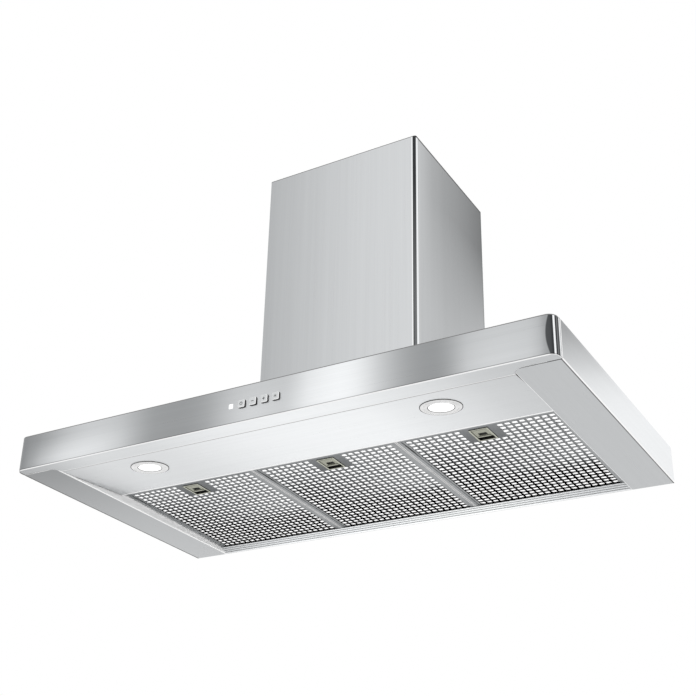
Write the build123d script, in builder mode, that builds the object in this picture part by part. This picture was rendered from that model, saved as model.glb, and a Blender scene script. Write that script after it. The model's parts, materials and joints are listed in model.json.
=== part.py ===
from build123d import *
import math
import os

# Wall-mounted range hood with a slim canopy and a box chimney, in millimetres.
# X runs to the right, Y from the front to the wall, Z up. The origin is the centre of the
# canopy's plan at the height of its underside, so the wall is the plane y = canopy_depth / 2.

# Canopy
canopy_width = 898
canopy_depth = 492
canopy_height = 58
sheet = 1.0
front_y = -canopy_depth / 2
wall_y = canopy_depth / 2
side_x = canopy_width / 2
corner_radius = 13
fold_radius = 1.5
return_depth = 17.5
seam_gap = 0.8
strip_width = 67
lip_depth = 34
strip_corner_radius = 15
upstand_height = 25
joint_gap = 0.4
inner_x = side_x - strip_width

# Light panel, a sheet that rises from the lip towards the filters
panel_rear = 182
panel_rise = 10
panel_slope = math.atan2(panel_rise, panel_rear - lip_depth)
panel_length = math.hypot(panel_rise, panel_rear - lip_depth)
flange_top = 27
panel_plane = Plane(
    origin=(0, front_y + lip_depth + joint_gap, 0),
    x_dir=(1, 0, 0),
    z_dir=(0, -math.sin(panel_slope), math.cos(panel_slope)),
)

# Lamps, on the light panel
lamp_x = 250
lamp_along = 54
lamp_ring_radius = 30
lamp_lens_radius = 19.6
lamp_neck_radius = 25.8
lamp_hole_radius = 26
lamp_proud = 1.4
lamp_clip_length = 10
lamp_play = 0.2
lens_recess = 0.8
lens_thickness = 2
lamp_body_length = 24
lamp_body_wall = 4
fin_count = 5
fin_pitch = 7
fin_thickness = 2.5
fin_length = 30
fin_height = 8

# Controls, in the middle of the front panel
button_size = 11.6
button_gap = 0.3
button_pitch = 19.2
button_proud = 3
button_corner = 1.7
button_flange = 1.2
flange_thickness = 1
stem_radius = 2.2
stem_length = 3
control_z = 28
indicator_size = 7
indicator_proud = 0.3
board_y = front_y + 8.2
board_thickness = 1.6
board_length = 112
board_height = 40
switch_size = 9
switch_height = 4
control_case_depth = 12
control_case_wall = 2

# Electrical boxes under the top cover
terminal_middle = (105, front_y + 112)
terminal_size = (90, 60, 26)
driver_middle = (-120, front_y + 110)
driver_size = (100, 44, 22)
capacitor_start = 160
capacitor_y = front_y + 120
capacitor_radius = 14
capacitor_length = 58

# Grease filters, in a row, each turning on the front edge of the rear rail
filter_names = ("left", "centre", "right")
filter_gap = 0.7
filter_width = (2 * inner_x - 4 * filter_gap) / 3
filter_pitch = filter_width + filter_gap
filter_thickness = 9
filter_lift = 0.4
filter_reach = 288.5
filter_overhang = 12
filter_length = filter_reach + filter_overhang
filter_middle = (filter_overhang - filter_reach) / 2
filter_rise = 6
hinge_y = front_y + 473
hinge_z = 6.6
filter_tilt = math.atan2(filter_rise, filter_reach)
rim_width = 7
frame_wall = 1.0
hole_size = 8.6
hole_pitch = 11.1
hole_columns = 21
hole_rows = 25
grid_sheet = 0.8
grid_clearance = 0.2
back_hole = 18
back_pitch = 22.2
back_columns = 10
back_rows = 12
blank_columns = 5
blank_rows = 4

# Filter latch
latch_width = 30
latch_length = 40
latch_along = -254.5
latch_travel = 6
latch_wall = 1
tongue_width = 14
tongue_thickness = 1.5
tongue_height = 4.2
tongue_reach = 5
slot_play = 0.4
cup_rim = 0.9
cup_corner = 1.5
cup_body_inset = 1.2
cup_window = 25
plate_start = latch_along - 15
plate_length = 24
plate_thickness = 1.2
plate_play = 0.4
finger_hole = (13, 8)
finger_hole_start = 10
finger_bar = (19, 3.4)
finger_bar_start = 19.2
finger_bar_proud = 1
riser_length = 6

# Rear rail
rail_front = 473
rail_steps = 3
rail_height = 22

# Chimney
chimney_width = 293
chimney_front = 224
chimney_top = 589
chimney_radius = 4
chimney_return = 18
telescope_gap = 0.6
upper_bottom = 120
upper_top = 586
vent_slots = 7
vent_pitch = 10
vent_length = 90
vent_height = 4
vent_top = 560
bracket_sheet = 1.5
bracket_bottom = 500
bracket_height = 20
bracket_hole_spacing = 160
bracket_hole_radius = 2.75
bracket_setback = 5
bracket_flap = 32
bracket_foot_gap = 4

# Blower
box_half_width = 128
box_front = 236
box_rear = 480
box_top = 338
box_flange = 9
duct_y = front_y + 380
gland_middle = (box_half_width - 24, front_y + box_front + 22)
gland_radius = 7.9
gland_nut_radius = 13
gland_nut_height = 6
gland_length = 24
gland_bore = 3.5
gland_hole_radius = 8
collar_radius = 74.5
collar_wall = 2
collar_height = 50
collar_flange_radius = 86
collar_flange = 3
collar_screw_circle = collar_flange_radius - 5
fan_y = front_y + 327
fan_z = 166
scroll_half_width = 55
scroll_wall = 2
scroll_start = 72
scroll_radii = (76, 83, 90)
inlet_radius = 52
wheel_radius = 64
wheel_inner_radius = 54
wheel_half_width = 48
wheel_ring = 2
blade_count = 30
blade_thickness = 1.2
blade_angle = 35
shaft_radius = 4
shaft_play = 0.05
shaft_start = -57
shaft_length = 86
hub_radius = 9
hub_length = 30
motor_radius = 40
motor_start = -64
motor_length = 58
motor_end_wall = 6
spider_thickness = 3
spider_rim = 9
spider_hub_rim = 4
spider_arms = 3
flap_radius = 70
flap_thickness = 1.5
flap_height = 14
rod_radius = 1.5
knuckle_radius = 2.8
knuckle_length = 8
flap_gap = 0.5
screw_radius = 1.9
screw_head_radius = 3.6
screw_head = 2.2
screw_play = 0.05
box_screw_length = 6
collar_screw_length = 8

# Wall fixing
wall_hole_radius = 4.25
wall_hole_spacing = 600
wall_hole_z = 38
hanger_width = 70
hanger_height = 30
hanger_thickness = 2

os.makedirs("parts", exist_ok=True)


def save(piece, name):
    """Label a finished piece and write its STEP file."""
    piece.part.label = name
    export_step(piece.part, f"parts/{name}.step")


def from_front(distance):
    """The y of a place that is given by its distance behind the canopy's front face."""
    return front_y + distance


def front_row():
    """The x places of the indicator and the four buttons, from left to right."""
    return [(i - 2) * button_pitch for i in range(5)]


def filter_plane(index):
    """The plane of one filter: origin on its hinge line, y towards the wall along its slope."""
    return Plane(
        origin=((index - 1) * filter_pitch, hinge_y, hinge_z),
        x_dir=(1, 0, 0),
        z_dir=(0, math.sin(filter_tilt), math.cos(filter_tilt)),
    )


# ---------------------------------------------------------------- canopy

def make_front_panel():
    """A folded tray: face, top, bottom and side returns, and the lip in front of the lights."""
    button_x = front_row()[1:]
    indicator_x = front_row()[0]
    with BuildPart() as front_panel:
        with BuildSketch(Plane.XY):
            with Locations((0, from_front(return_depth / 2))):
                Rectangle(canopy_width, return_depth)
            fillet(vertices().group_by(Axis.Y)[0], corner_radius)
        extrude(amount=canopy_height)
        level_edges = edges().filter_by(lambda e: abs(e.center().Z - canopy_height / 2) > 1)
        fillet(level_edges.sort_by(Axis.Y)[:-2], fold_radius)
        with BuildSketch(Plane.XY.offset(sheet)):
            with Locations((0, from_front(sheet + return_depth / 2))):
                Rectangle(canopy_width - 2 * sheet, return_depth)
            fillet(vertices().group_by(Axis.Y)[0], corner_radius - sheet)
        extrude(amount=canopy_height - 2 * sheet, mode=Mode.SUBTRACT)
        with BuildSketch(Plane.XY):
            with Locations((0, from_front((return_depth + lip_depth) / 2))):
                Rectangle(2 * inner_x + 2 * strip_corner_radius, lip_depth - return_depth)
            for side in (-1, 1):
                cut_x = side * (inner_x - joint_gap + strip_width)
                with Locations((cut_x, from_front(return_depth + joint_gap + strip_width))):
                    RectangleRounded(
                        2 * strip_width,
                        2 * strip_width,
                        strip_corner_radius + joint_gap,
                        mode=Mode.SUBTRACT,
                    )
        extrude(amount=sheet)
        with BuildSketch(Plane.XZ.offset(-front_y)):
            with Locations(*[(x, control_z) for x in button_x]):
                RectangleRounded(button_size + 2 * button_gap, button_size + 2 * button_gap, 2)
            with Locations((indicator_x, control_z)):
                Rectangle(indicator_size, indicator_size)
        extrude(amount=-2 * sheet, mode=Mode.SUBTRACT)
    save(front_panel, "front_panel")


def make_side_panel(side, name):
    """A channel folded from one sheet: outer wall, broad bottom strip and inner upstand."""
    start_y = from_front(return_depth + seam_gap)
    length = wall_y - start_y
    outer = side * side_x
    inner = side * inner_x
    with BuildPart() as side_panel:
        with BuildSketch(Plane.XZ.offset(-start_y)):
            with BuildLine():
                Polyline(
                    (outer, 0),
                    (outer, canopy_height),
                    (outer - side * sheet, canopy_height),
                    (outer - side * sheet, sheet),
                    (inner + side * sheet, sheet),
                    (inner + side * sheet, upstand_height),
                    (inner, upstand_height),
                    (inner, 0),
                    close=True,
                )
            make_face()
            fillet(vertices().group_by(Axis.Y)[0], fold_radius * 0.9)
        extrude(amount=-length)
        with BuildSketch(Plane.XY):
            with Locations((inner, start_y)):
                Rectangle(2 * strip_corner_radius, 2 * strip_corner_radius)
            with Locations((inner + side * strip_corner_radius, start_y + strip_corner_radius)):
                Circle(strip_corner_radius, mode=Mode.SUBTRACT)
        extrude(amount=upstand_height, mode=Mode.SUBTRACT)
    save(side_panel, name)


def make_rear_panel():
    """The flat back sheet against the wall, with two hanging holes."""
    with BuildPart() as rear_panel:
        with BuildSketch(Plane.XZ.offset(-wall_y)):
            with Locations((0, (canopy_height + sheet) / 2)):
                Rectangle(2 * (side_x - sheet), canopy_height - sheet)
            with Locations((0, canopy_height / 2)):
                Rectangle(2 * (inner_x - joint_gap), canopy_height)
            with Locations((0, upstand_height / 2)):
                with GridLocations(2 * inner_x + sheet, 1, 2, 1):
                    Rectangle(sheet, upstand_height, mode=Mode.SUBTRACT)
            with Locations((0, wall_hole_z)):
                with GridLocations(wall_hole_spacing, 1, 2, 1):
                    Circle(wall_hole_radius, mode=Mode.SUBTRACT)
        extrude(amount=sheet)
    save(rear_panel, "rear_panel")


def make_hanger_plates():
    """Two stiff plates on the back sheet that carry the hood on its wall screws."""
    with BuildPart() as hanger_plates:
        with BuildSketch(Plane.XZ.offset(-(wall_y - sheet))):
            with Locations((0, wall_hole_z)):
                with GridLocations(wall_hole_spacing, 1, 2, 1):
                    Rectangle(hanger_width, hanger_height)
                    Circle(wall_hole_radius, mode=Mode.SUBTRACT)
        extrude(amount=hanger_thickness)
    save(hanger_plates, "hanger_plates")


def make_top_cover():
    """The flat top sheet, open where the blower box stands on it."""
    cover_front = from_front(return_depth + seam_gap)
    cover_rear = wall_y - sheet
    opening_middle = from_front((box_front + box_rear) / 2)
    opening_depth = box_rear - box_front - 4 * sheet
    with BuildPart() as top_cover:
        with BuildSketch(Plane.XY.offset(canopy_height - sheet)):
            with Locations((0, (cover_front + cover_rear) / 2)):
                Rectangle(2 * (side_x - sheet), cover_rear - cover_front)
            with Locations((0, opening_middle)):
                Rectangle(2 * box_half_width - 4 * sheet, opening_depth, mode=Mode.SUBTRACT)
                with GridLocations(*flange_screw_spacing(), 2, 2):
                    Circle(screw_radius, mode=Mode.SUBTRACT)
        extrude(amount=sheet)
    save(top_cover, "top_cover")


def flange_screw_spacing():
    """How far apart the four screws of the blower box's flange stand, along X and Y."""
    return (2 * box_half_width + box_flange, box_rear - box_front - 40)


def make_light_panel():
    """The sloping sheet with two lamp holes, and its upright rear flange with latch slots."""
    width = 2 * (inner_x - joint_gap)
    flange_y = from_front(panel_rear)
    tongue_z = hinge_z + filter_rise + tongue_height
    slot_height = tongue_thickness + 2 * slot_play + 1
    with BuildPart() as light_panel:
        with BuildSketch(panel_plane):
            Rectangle(width, panel_length - joint_gap, align=(Align.CENTER, Align.MIN))
            with Locations((-lamp_x, lamp_along), (lamp_x, lamp_along)):
                Circle(lamp_hole_radius, mode=Mode.SUBTRACT)
        extrude(amount=sheet)
        with BuildSketch(Plane.XZ.offset(-flange_y)):
            with Locations((0, (panel_rise + flange_top) / 2)):
                Rectangle(width, flange_top - panel_rise)
            with Locations((0, tongue_z + tongue_thickness / 2)):
                with GridLocations(filter_pitch, 1, 3, 1):
                    Rectangle(tongue_width + 2, slot_height, mode=Mode.SUBTRACT)
        extrude(amount=sheet)
    save(light_panel, "light_panel")


def make_rear_rail():
    """The stepped rail between the strips, on whose front edge the filters turn."""
    step_depth = (canopy_depth - sheet - rail_front) / (rail_steps + 1)
    step_height = (hinge_z - sheet) / rail_steps
    rear = wall_y - sheet
    front = from_front(rail_front)
    under = [(front, hinge_z - sheet)]
    for i in range(rail_steps):
        step_y = front + (i + 1) * step_depth
        under.append((step_y, hinge_z - sheet - i * step_height))
        under.append((step_y, hinge_z - sheet - (i + 1) * step_height))
    over = [(front, hinge_z)]
    for y, z in under[1:]:
        over.append((y + sheet, z + sheet))
    with BuildPart() as rear_rail:
        with BuildSketch(Plane.YZ.offset(-(inner_x - joint_gap))):
            with BuildLine():
                Polyline(
                    *under,
                    (rear, 0),
                    (rear, rail_height),
                    (rear - sheet, rail_height),
                    (rear - sheet, sheet),
                    *reversed(over),
                    close=True,
                )
            make_face()
        extrude(amount=2 * (inner_x - joint_gap))
    save(rear_rail, "rear_rail")


# ---------------------------------------------------------------- lamps and controls

def make_lamp(side, name):
    """One downlight: a chrome ring that clips in the panel, its lens and its lamp body."""
    place = (side * lamp_x, lamp_along)
    with BuildPart() as ring:
        with BuildSketch(panel_plane.offset(-lamp_proud)):
            with Locations(place):
                Circle(lamp_ring_radius)
        extrude(amount=lamp_proud)
        chamfer(edges().filter_by(GeomType.CIRCLE).sort_by(Axis.Z)[0], lamp_proud * 0.6)
        with BuildSketch(panel_plane):
            with Locations(place):
                Circle(lamp_neck_radius)
        extrude(amount=lamp_clip_length)
        with BuildSketch(panel_plane.offset(-lamp_proud)):
            with Locations(place):
                Circle(lamp_lens_radius + lamp_play)
        extrude(amount=lamp_proud + lamp_clip_length, mode=Mode.SUBTRACT)
    save(ring, f"lamp_ring_{name}")

    with BuildPart() as lens:
        with BuildSketch(panel_plane.offset(lens_recess - lamp_proud)):
            with Locations(place):
                Circle(lamp_lens_radius)
        extrude(amount=lens_thickness)
    save(lens, f"lamp_lens_{name}")

    with BuildPart() as body:
        with BuildSketch(panel_plane.offset(lamp_clip_length)):
            with Locations(place):
                Circle(lamp_neck_radius)
        extrude(amount=lamp_body_length - lamp_clip_length)
        with BuildSketch(panel_plane.offset(lamp_clip_length)):
            with Locations(place):
                Circle(lamp_neck_radius - lamp_body_wall)
        extrude(amount=lamp_body_wall, mode=Mode.SUBTRACT)
        with BuildSketch(panel_plane.offset(lamp_body_length)):
            with Locations(place):
                with GridLocations(fin_pitch, 1, fin_count, 1):
                    Rectangle(fin_thickness, fin_length)
        extrude(amount=fin_height)
    save(body, f"lamp_body_{name}")


def make_button(index):
    """A square cap that slides in the front panel, with a flange that keeps it in."""
    x = front_row()[index]
    with BuildPart() as button:
        with BuildSketch(Plane.XZ.offset(-front_y + button_proud)):
            with Locations((x, control_z)):
                RectangleRounded(button_size, button_size, button_corner)
        extrude(amount=-(button_proud + sheet + flange_thickness))
        fillet(faces().sort_by(Axis.Y)[0].edges(), button_corner * 0.4)
        with BuildSketch(Plane.XZ.offset(-front_y - sheet - button_gap)):
            with Locations((x, control_z)):
                Rectangle(button_size + 2 * button_flange, button_size + 2 * button_flange)
        extrude(amount=-flange_thickness)
        with BuildSketch(Plane.XZ.offset(-front_y - sheet - flange_thickness)):
            with Locations((x, control_z)):
                Circle(stem_radius)
        extrude(amount=-stem_length)
    save(button, f"push_button_{index}")


def make_indicator():
    """The small square light guide left of the buttons."""
    x = front_row()[0]
    with BuildPart() as indicator:
        with BuildSketch(Plane.XZ.offset(-front_y + indicator_proud)):
            with Locations((x, control_z)):
                Rectangle(indicator_size - button_gap, indicator_size - button_gap)
        extrude(amount=-(board_y - front_y + indicator_proud))
    save(indicator, "indicator_lens")


def make_control_board():
    """The circuit board behind the buttons, with four switch blocks on its back."""
    with BuildPart() as board:
        with BuildSketch(Plane.XZ.offset(-board_y)):
            with Locations((0, control_z)):
                Rectangle(board_length, board_height)
        extrude(amount=-board_thickness)
        with BuildSketch(Plane.XZ.offset(-board_y - board_thickness)):
            with Locations(*[(x, control_z) for x in front_row()[1:]]):
                Rectangle(switch_size, switch_size)
        extrude(amount=-switch_height)
    save(board, "control_board")


def make_control_housing():
    """The plastic case that closes the back of the control board."""
    case_front = board_y + board_thickness
    inside_length = board_length - 2 * control_case_wall
    inside_height = board_height - 2 * control_case_wall
    with BuildPart() as housing:
        with BuildSketch(Plane.XZ.offset(-case_front)):
            with Locations((0, control_z)):
                Rectangle(board_length, board_height)
        extrude(amount=-control_case_depth)
        with BuildSketch(Plane.XZ.offset(-case_front)):
            with Locations((0, control_z)):
                Rectangle(inside_length, inside_height)
        extrude(amount=-(control_case_depth - control_case_wall), mode=Mode.SUBTRACT)
    save(housing, "control_housing")


def make_hanging_box(name, middle, size):
    """A closed electrical box that hangs under the top cover."""
    length, depth, height = size
    with BuildPart() as box:
        with BuildSketch(Plane.XY.offset(canopy_height - sheet - height)):
            with Locations(middle):
                Rectangle(length, depth)
        extrude(amount=height)
        fillet(edges().filter_by(Axis.Z), 3)
    save(box, name)


def make_capacitor():
    """The motor's run capacitor, a can lying on the underside of the top cover."""
    with BuildPart() as capacitor:
        with BuildSketch(Plane.YZ.offset(capacitor_start)):
            with Locations((capacitor_y, canopy_height - sheet - capacitor_radius)):
                Circle(capacitor_radius)
        extrude(amount=capacitor_length)
        fillet(edges().filter_by(GeomType.CIRCLE), 1.5)
    save(capacitor, "capacitor")


# ---------------------------------------------------------------- filters

def hole_places():
    """The hole centres of a filter sheet, without the blank patch around the latch."""
    front_row_y = -(hole_rows - 1) / 2 * hole_pitch
    blank_x = blank_columns / 2 * hole_pitch
    blank_y = front_row_y + (blank_rows - 0.5) * hole_pitch
    places = []
    for place in GridLocations(hole_pitch, hole_pitch, hole_columns, hole_rows).locations:
        inside = abs(place.position.X) < blank_x and place.position.Y < blank_y
        if not inside:
            places.append(place)
    return places


with BuildSketch(Plane.XY) as perforation:
    Rectangle(
        filter_width - 2 * frame_wall - 2 * grid_clearance,
        filter_length - 2 * frame_wall - 2 * grid_clearance,
    )
    with Locations(*hole_places()):
        Rectangle(hole_size, hole_size, mode=Mode.SUBTRACT)
    with Locations((0, latch_along - filter_middle)):
        Rectangle(latch_width - 2, latch_length - 2, mode=Mode.SUBTRACT)


def make_filter_frame(plane, name):
    """The folded frame: rims above and below, walls between, and the tongue's slot."""
    cavity_height = filter_thickness - 2 * frame_wall
    with BuildPart() as frame:
        with BuildSketch(plane.offset(filter_lift)):
            with Locations((0, filter_middle)):
                Rectangle(filter_width, filter_length)
        extrude(amount=filter_thickness)
        with BuildSketch(plane.offset(filter_lift + frame_wall)):
            with Locations((0, filter_middle)):
                Rectangle(filter_width - 2 * frame_wall, filter_length - 2 * frame_wall)
        extrude(amount=cavity_height, mode=Mode.SUBTRACT)
        with BuildSketch(plane.offset(filter_lift)):
            with Locations((0, filter_middle)):
                RectangleRounded(filter_width - 2 * rim_width, filter_length - 2 * rim_width, 2)
        extrude(amount=filter_thickness, mode=Mode.SUBTRACT)
        with BuildSketch(plane.offset(tongue_height - slot_play)):
            with Locations((0, -filter_reach + rim_width / 2)):
                Rectangle(tongue_width + 2 * slot_play, rim_width + 1)
        extrude(amount=tongue_thickness + 2 * slot_play, mode=Mode.SUBTRACT)
    save(frame, f"filter_frame_{name}")


def make_filter_sheet(plane, name):
    """The perforated sheet that shows from below."""
    with BuildPart() as front_sheet:
        with BuildSketch(plane.offset(filter_lift + frame_wall)):
            with Locations((0, filter_middle)):
                add(perforation.sketch_local)
        extrude(amount=grid_sheet)
    save(front_sheet, f"filter_sheet_{name}")


def make_filter_mesh(plane, name):
    """The packed aluminium mesh between the two sheets, cut away around the latch."""
    bottom = filter_lift + frame_wall + grid_sheet
    height = filter_thickness - 2 * frame_wall - 2 * grid_sheet
    with BuildPart() as mesh:
        with BuildSketch(plane.offset(bottom)):
            with Locations((0, filter_middle)):
                Rectangle(
                    filter_width - 2 * frame_wall - 2 * grid_clearance,
                    filter_length - 2 * frame_wall - 2 * grid_clearance,
                )
            notch_end = latch_along + latch_length / 2 + latch_travel
            with Locations((0, (notch_end - filter_reach) / 2)):
                Rectangle(latch_width, notch_end + filter_reach, mode=Mode.SUBTRACT)
        extrude(amount=height)
    save(mesh, f"filter_mesh_{name}")


def make_filter_back(plane, name):
    """The coarse grid that holds the mesh down from behind."""
    bottom = filter_lift + filter_thickness - frame_wall - grid_sheet
    with BuildPart() as back:
        with BuildSketch(plane.offset(bottom)):
            with Locations((0, filter_middle)):
                Rectangle(
                    filter_width - 2 * frame_wall - 2 * grid_clearance,
                    filter_length - 2 * frame_wall - 2 * grid_clearance,
                )
                with GridLocations(back_pitch, back_pitch, back_columns, back_rows):
                    Rectangle(back_hole, back_hole, mode=Mode.SUBTRACT)
        extrude(amount=grid_sheet)
    save(back, f"filter_back_{name}")


def make_latch(plane, name):
    """The latch: a shallow cup let into the sheet, and the slider with its spring tongue."""
    cup_bottom = filter_lift + frame_wall
    cup_top = filter_lift + filter_thickness - frame_wall - grid_sheet
    body_width = latch_width - 2 * cup_body_inset
    body_length = latch_length - 2 * cup_body_inset
    with BuildPart() as cup:
        with BuildSketch(plane.offset(cup_bottom - cup_rim)):
            with Locations((0, latch_along)):
                RectangleRounded(latch_width, latch_length, cup_corner)
        extrude(amount=cup_rim)
        with BuildSketch(plane.offset(cup_bottom)):
            with Locations((0, latch_along)):
                Rectangle(body_width, body_length)
        extrude(amount=cup_top - cup_bottom)
        with BuildSketch(plane.offset(cup_bottom - cup_rim)):
            with Locations((0, latch_along)):
                Rectangle(cup_window, body_length - 2 * latch_wall)
        extrude(amount=cup_top - cup_bottom + cup_rim - latch_wall, mode=Mode.SUBTRACT)
        with BuildSketch(plane.offset(tongue_height - slot_play)):
            with Locations((0, latch_along - latch_length / 2)):
                Rectangle(tongue_width + 2 * slot_play, 4 * cup_body_inset + 2 * latch_wall)
        extrude(amount=tongue_thickness + 2 * slot_play, mode=Mode.SUBTRACT)
    save(cup, f"latch_cup_{name}")

    tongue_front = -filter_reach - tongue_reach
    riser_height = tongue_height + tongue_thickness - cup_bottom - plate_thickness
    start = (Align.CENTER, Align.MIN)
    with BuildPart() as slider:
        with BuildSketch(plane.offset(cup_bottom)):
            with Locations((0, plate_start)):
                Rectangle(cup_window - 2 * plate_play, plate_length, align=start)
            with Locations((0, plate_start + finger_hole_start)):
                Rectangle(*finger_hole, align=start, mode=Mode.SUBTRACT)
        extrude(amount=plate_thickness)
        with BuildSketch(plane.offset(cup_bottom - finger_bar_proud)):
            with Locations((0, plate_start + finger_bar_start)):
                RectangleRounded(*finger_bar, finger_bar_proud, align=start)
        extrude(amount=finger_bar_proud)
        with BuildSketch(plane.offset(cup_bottom + plate_thickness)):
            with Locations((0, plate_start)):
                Rectangle(tongue_width, riser_length, align=start)
        extrude(amount=riser_height)
        with BuildSketch(plane.offset(tongue_height)):
            with Locations((0, tongue_front)):
                Rectangle(tongue_width, plate_start - tongue_front + riser_length / 2, align=start)
        extrude(amount=tongue_thickness)
    save(slider, f"latch_slider_{name}")


# ---------------------------------------------------------------- chimney

def chimney_shell(width, front, rear, wall, radius, corner_return):
    """The plan of a chimney: front and sides, with narrow returns along the wall."""
    depth = rear - front
    with BuildSketch(Plane.XY) as plan:
        with Locations((0, (front + rear) / 2)):
            Rectangle(width, depth)
        fillet(plan.vertices().group_by(Axis.Y)[0], radius)
        with BuildSketch(Plane.XY, mode=Mode.PRIVATE) as inside:
            with Locations((0, (front + rear) / 2)):
                Rectangle(width - 2 * wall, depth - 2 * wall)
            fillet(inside.vertices().group_by(Axis.Y)[0], radius - wall)
        add(inside.sketch, mode=Mode.SUBTRACT)
        with Locations((0, rear - wall / 2)):
            Rectangle(width - 2 * corner_return, 2 * wall, mode=Mode.SUBTRACT)
    return plan.sketch


def make_lower_chimney():
    """The outer chimney cover, standing on the top cover."""
    plan = chimney_shell(
        chimney_width, from_front(chimney_front), wall_y, sheet, chimney_radius, chimney_return
    )
    with BuildPart() as lower:
        with BuildSketch(Plane.XY.offset(canopy_height)):
            add(plan)
        extrude(amount=chimney_top - canopy_height)
    save(lower, "lower_chimney")


def make_upper_chimney():
    """The inner chimney cover, with vent slots in both sides near its top."""
    inset = sheet + telescope_gap
    plan = chimney_shell(
        chimney_width - 2 * inset,
        from_front(chimney_front) + inset,
        wall_y - inset,
        sheet,
        chimney_radius - 1,
        chimney_return,
    )
    vent_y = (from_front(chimney_front) + wall_y) / 2
    first_vent = vent_top - (vent_slots - 1) * vent_pitch / 2
    with BuildPart() as upper:
        with BuildSketch(Plane.XY.offset(upper_bottom)):
            add(plan)
        extrude(amount=upper_top - upper_bottom)
        with BuildSketch(Plane.YZ):
            with Locations((vent_y, first_vent)):
                with GridLocations(1, vent_pitch, 1, vent_slots):
                    SlotOverall(vent_length, vent_height)
        extrude(amount=chimney_width / 2, both=True, mode=Mode.SUBTRACT)
    save(upper, "upper_chimney")


def make_chimney_bracket():
    """The hat-shaped strip that fixes the upper chimney's top to the wall."""
    half_back = chimney_width / 2 - chimney_return - bracket_foot_gap
    half_side = chimney_width / 2 - 2 * sheet - telescope_gap
    foot_y = wall_y - bracket_setback
    flap_y = wall_y - bracket_flap
    with BuildPart() as bracket:
        with BuildSketch(Plane.XY.offset(bracket_bottom)):
            with BuildLine():
                Polyline(
                    (-half_side, flap_y),
                    (-half_side, foot_y),
                    (-half_back, foot_y),
                    (-half_back, wall_y),
                    (half_back, wall_y),
                    (half_back, foot_y),
                    (half_side, foot_y),
                    (half_side, flap_y),
                    (half_side - bracket_sheet, flap_y),
                    (half_side - bracket_sheet, foot_y - bracket_sheet),
                    (half_back - bracket_sheet, foot_y - bracket_sheet),
                    (half_back - bracket_sheet, wall_y - bracket_sheet),
                    (-half_back + bracket_sheet, wall_y - bracket_sheet),
                    (-half_back + bracket_sheet, foot_y - bracket_sheet),
                    (-half_side + bracket_sheet, foot_y - bracket_sheet),
                    (-half_side + bracket_sheet, flap_y),
                    close=True,
                )
            make_face()
        extrude(amount=bracket_height)
        with BuildSketch(Plane.XZ.offset(-wall_y)):
            with Locations((0, bracket_bottom + bracket_height / 2)):
                with GridLocations(bracket_hole_spacing, 1, 2, 1):
                    Circle(bracket_hole_radius)
        extrude(amount=bracket_sheet, mode=Mode.SUBTRACT)
    save(bracket, "chimney_bracket")


# ---------------------------------------------------------------- blower

def make_blower_box():
    """The sheet box over the canopy's opening; air enters below and leaves at the top."""
    middle = from_front((box_front + box_rear) / 2)
    depth = box_rear - box_front
    with BuildPart() as box:
        with BuildSketch(Plane.XY.offset(canopy_height)):
            with Locations((0, middle)):
                Rectangle(2 * box_half_width, depth)
        extrude(amount=box_top - canopy_height)
        with BuildSketch(Plane.XY.offset(canopy_height)):
            with Locations((0, middle)):
                Rectangle(2 * (box_half_width + box_flange), depth)
        extrude(amount=sheet)
        with BuildSketch(Plane.XY.offset(canopy_height)):
            with Locations((0, middle)):
                Rectangle(2 * (box_half_width - sheet), depth - 2 * sheet)
        extrude(amount=box_top - canopy_height - sheet, mode=Mode.SUBTRACT)
        with BuildSketch(Plane.XY.offset(canopy_height)):
            with Locations((0, middle)):
                with GridLocations(*flange_screw_spacing(), 2, 2):
                    Circle(screw_radius)
        extrude(amount=sheet, mode=Mode.SUBTRACT)
        with BuildSketch(Plane.XY.offset(box_top - sheet)):
            with Locations((0, duct_y)):
                Circle(collar_radius - collar_wall)
                with PolarLocations(collar_screw_circle, 4, start_angle=45):
                    Circle(screw_radius)
            with Locations(gland_middle):
                Circle(gland_hole_radius)
        extrude(amount=sheet, mode=Mode.SUBTRACT)
    save(box, "blower_box")


def make_cable_gland():
    """The mains cable gland: a hexagon body with a bored neck through the box's top."""
    with BuildPart() as gland:
        with BuildSketch(Plane.XY.offset(box_top)):
            with Locations(gland_middle):
                RegularPolygon(gland_nut_radius, 6)
        extrude(amount=gland_nut_height)
        with BuildSketch(Plane.XY.offset(box_top - gland_nut_height)):
            with Locations(gland_middle):
                Circle(gland_radius)
        extrude(amount=gland_length)
        with BuildSketch(Plane.XY.offset(box_top - gland_nut_height)):
            with Locations(gland_middle):
                Circle(gland_bore)
        extrude(amount=gland_length, mode=Mode.SUBTRACT)
    save(gland, "cable_gland")


def scroll_outline(grow):
    """The closed outline of the scroll in the plane of y and z, grown outwards by a wall."""
    top = box_top - sheet
    tongue_y = fan_y + 9
    with BuildSketch(Plane.YZ, mode=Mode.PRIVATE) as outline:
        with BuildLine():
            first = JernArc(
                (fan_y, fan_z + scroll_start + grow), (-1, 0), scroll_radii[0] + grow, 90
            )
            second = JernArc(first @ 1, first % 1, scroll_radii[1] + grow, 90)
            third = JernArc(second @ 1, second % 1, scroll_radii[2] + grow, 90)
            Polyline(
                third @ 1,
                ((third @ 1).X, top),
                (tongue_y - grow, top),
                (tongue_y - grow, fan_z + scroll_start + grow),
                (fan_y, fan_z + scroll_start + grow),
            )
        make_face()
    return outline.sketch_local


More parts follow.
